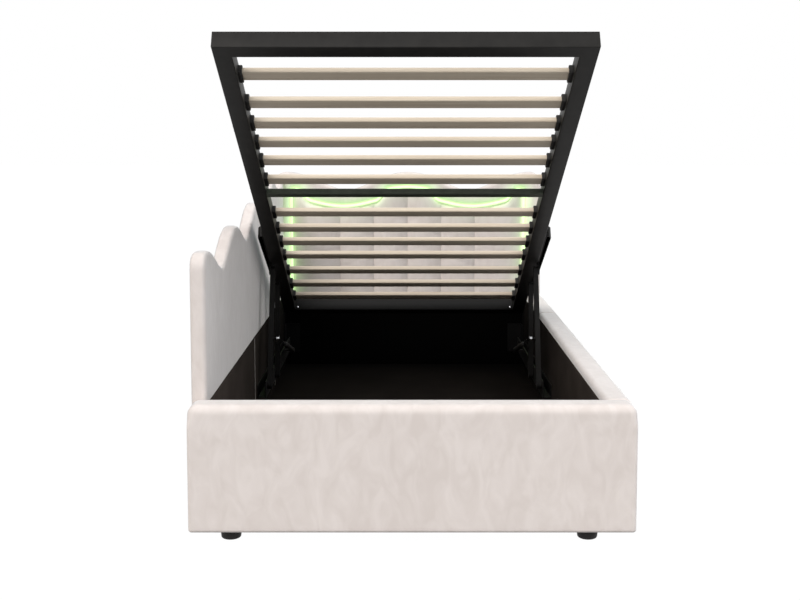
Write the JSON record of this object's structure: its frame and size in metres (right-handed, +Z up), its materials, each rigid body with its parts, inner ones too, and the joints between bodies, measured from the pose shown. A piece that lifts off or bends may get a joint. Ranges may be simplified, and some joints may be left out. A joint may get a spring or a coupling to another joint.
{
  "type": "storage daybed",
  "caption": "Upholstered daybed with scalloped side board and lit headboard; its slatted platform lifts on gas struts over a lined storage box.",
  "frame": {"origin": "on the floor, under the middle of the bed's width and length", "axes": "+X to the right as seen from the footboard, +Y from the footboard to the headboard, +Z up; drawn with the slatted platform lifted"},
  "size_m": [1.123, 2.102, 1.2745],
  "materials": {
    "velvet": "short-pile velvet, matte with a soft sheen",
    "board": "raw board",
    "lining": "board covered in dark cloth",
    "steel": "satin black powder coat",
    "slat": "smooth laminated wood",
    "chrome": "polished",
    "glow": "milky light strip, lit pale green",
    "leg": "dark moulded"
  },
  "bodies": {
    "base": {"footboard_cover": "velvet", "rail_cover_front": "velvet", "rail_cover_rear": "velvet", "side_board_cover": "velvet", "headboard_cover": "velvet", "headboard_pad": "velvet", "rail_panel": "board", "side_board_panel": "board", "headboard_panel": "board", "footboard_panel": "lining", "lining_left_front": "lining", "lining_left_rear": "lining", "lining_right_front": "lining", "lining_right_rear": "lining", "lining_head": "lining", "floor_front": "lining", "floor_rear": "lining", "floor_bar_front": "steel", "floor_bar_rear": "steel", "corner_bracket_foot_left": "steel", "corner_bracket_foot_right": "steel", "corner_bracket_head_left": "steel", "corner_bracket_head_right": "steel", "base_channel_left": "steel", "base_channel_right": "steel", "light_strip": "glow", "leg_front_left": "leg", "leg_front_right": "leg", "leg_middle_left": "leg", "leg_middle_right": "leg", "leg_rear_left": "leg", "leg_rear_right": "leg"},
    "platform": {"platform_foot_rail": "steel", "platform_head_rail": "steel", "platform_left_rail": "steel", "platform_right_rail": "steel", "platform_middle_bar": "steel", "platform_bracket_left": "steel", "platform_bracket_right": "steel", "slat_01": "slat", "slat_02": "slat", "slat_03": "slat", "slat_04": "slat", "slat_05": "slat", "slat_06": "slat", "slat_07": "slat", "slat_08": "slat", "slat_09": "slat", "slat_10": "slat", "slat_11": "slat", "slat_12": "slat", "slat_13": "slat"},
    "front_arms": {"front_arm_left": "steel", "front_arm_right": "steel"},
    "rear_arms": {"rear_arm_left": "steel", "rear_arm_right": "steel"},
    "strut_rods": {"strut_rod_left": "chrome", "strut_rod_right": "chrome"},
    "strut_tubes": {"strut_tube_left": "steel", "strut_tube_right": "steel"}
  },
  "joints": [
    {"name": "platform_lift", "type": "hinge", "parent": "base", "child": "front_arms", "pos_m": [-0.0165, 0.03918, 0.165], "axis": [-1, 0, 0], "range_deg": [0, 61.42]},
    {"name": "platform_tilt", "type": "hinge", "parent": "front_arms", "child": "platform", "pos_m": [-0.0165, 0.16792, 0.5456], "axis": [1, 0, 0], "range_deg": [0, 90.1]},
    {"name": "rear_arm_swing", "type": "hinge", "parent": "base", "child": "rear_arms", "pos_m": [-0.0165, 0.28646, 0.15], "axis": [-1, 0, 0], "range_deg": [0, 70.9]},
    {"name": "strut_swing", "type": "hinge", "parent": "front_arms", "child": "strut_rods", "pos_m": [-0.0165, 0.09045, 0.31656], "axis": [1, 0, 0], "range_deg": [0, 73.3]},
    {"name": "strut_stroke", "type": "slide", "parent": "strut_rods", "child": "strut_tubes", "axis": [0, -0.9664, 0.257], "range_m": [0, 0.1252]}
  ],
  "couplings": [
    {"joint": "platform_tilt", "follows": "platform_lift", "ratio": 1.4656},
    {"joint": "rear_arm_swing", "follows": "platform_lift", "ratio": 1.1533},
    {"joint": "strut_swing", "follows": "platform_lift", "ratio": 1.192},
    {"joint": "strut_stroke", "follows": "platform_lift", "m_per_rad": 0.11671}
  ]
}
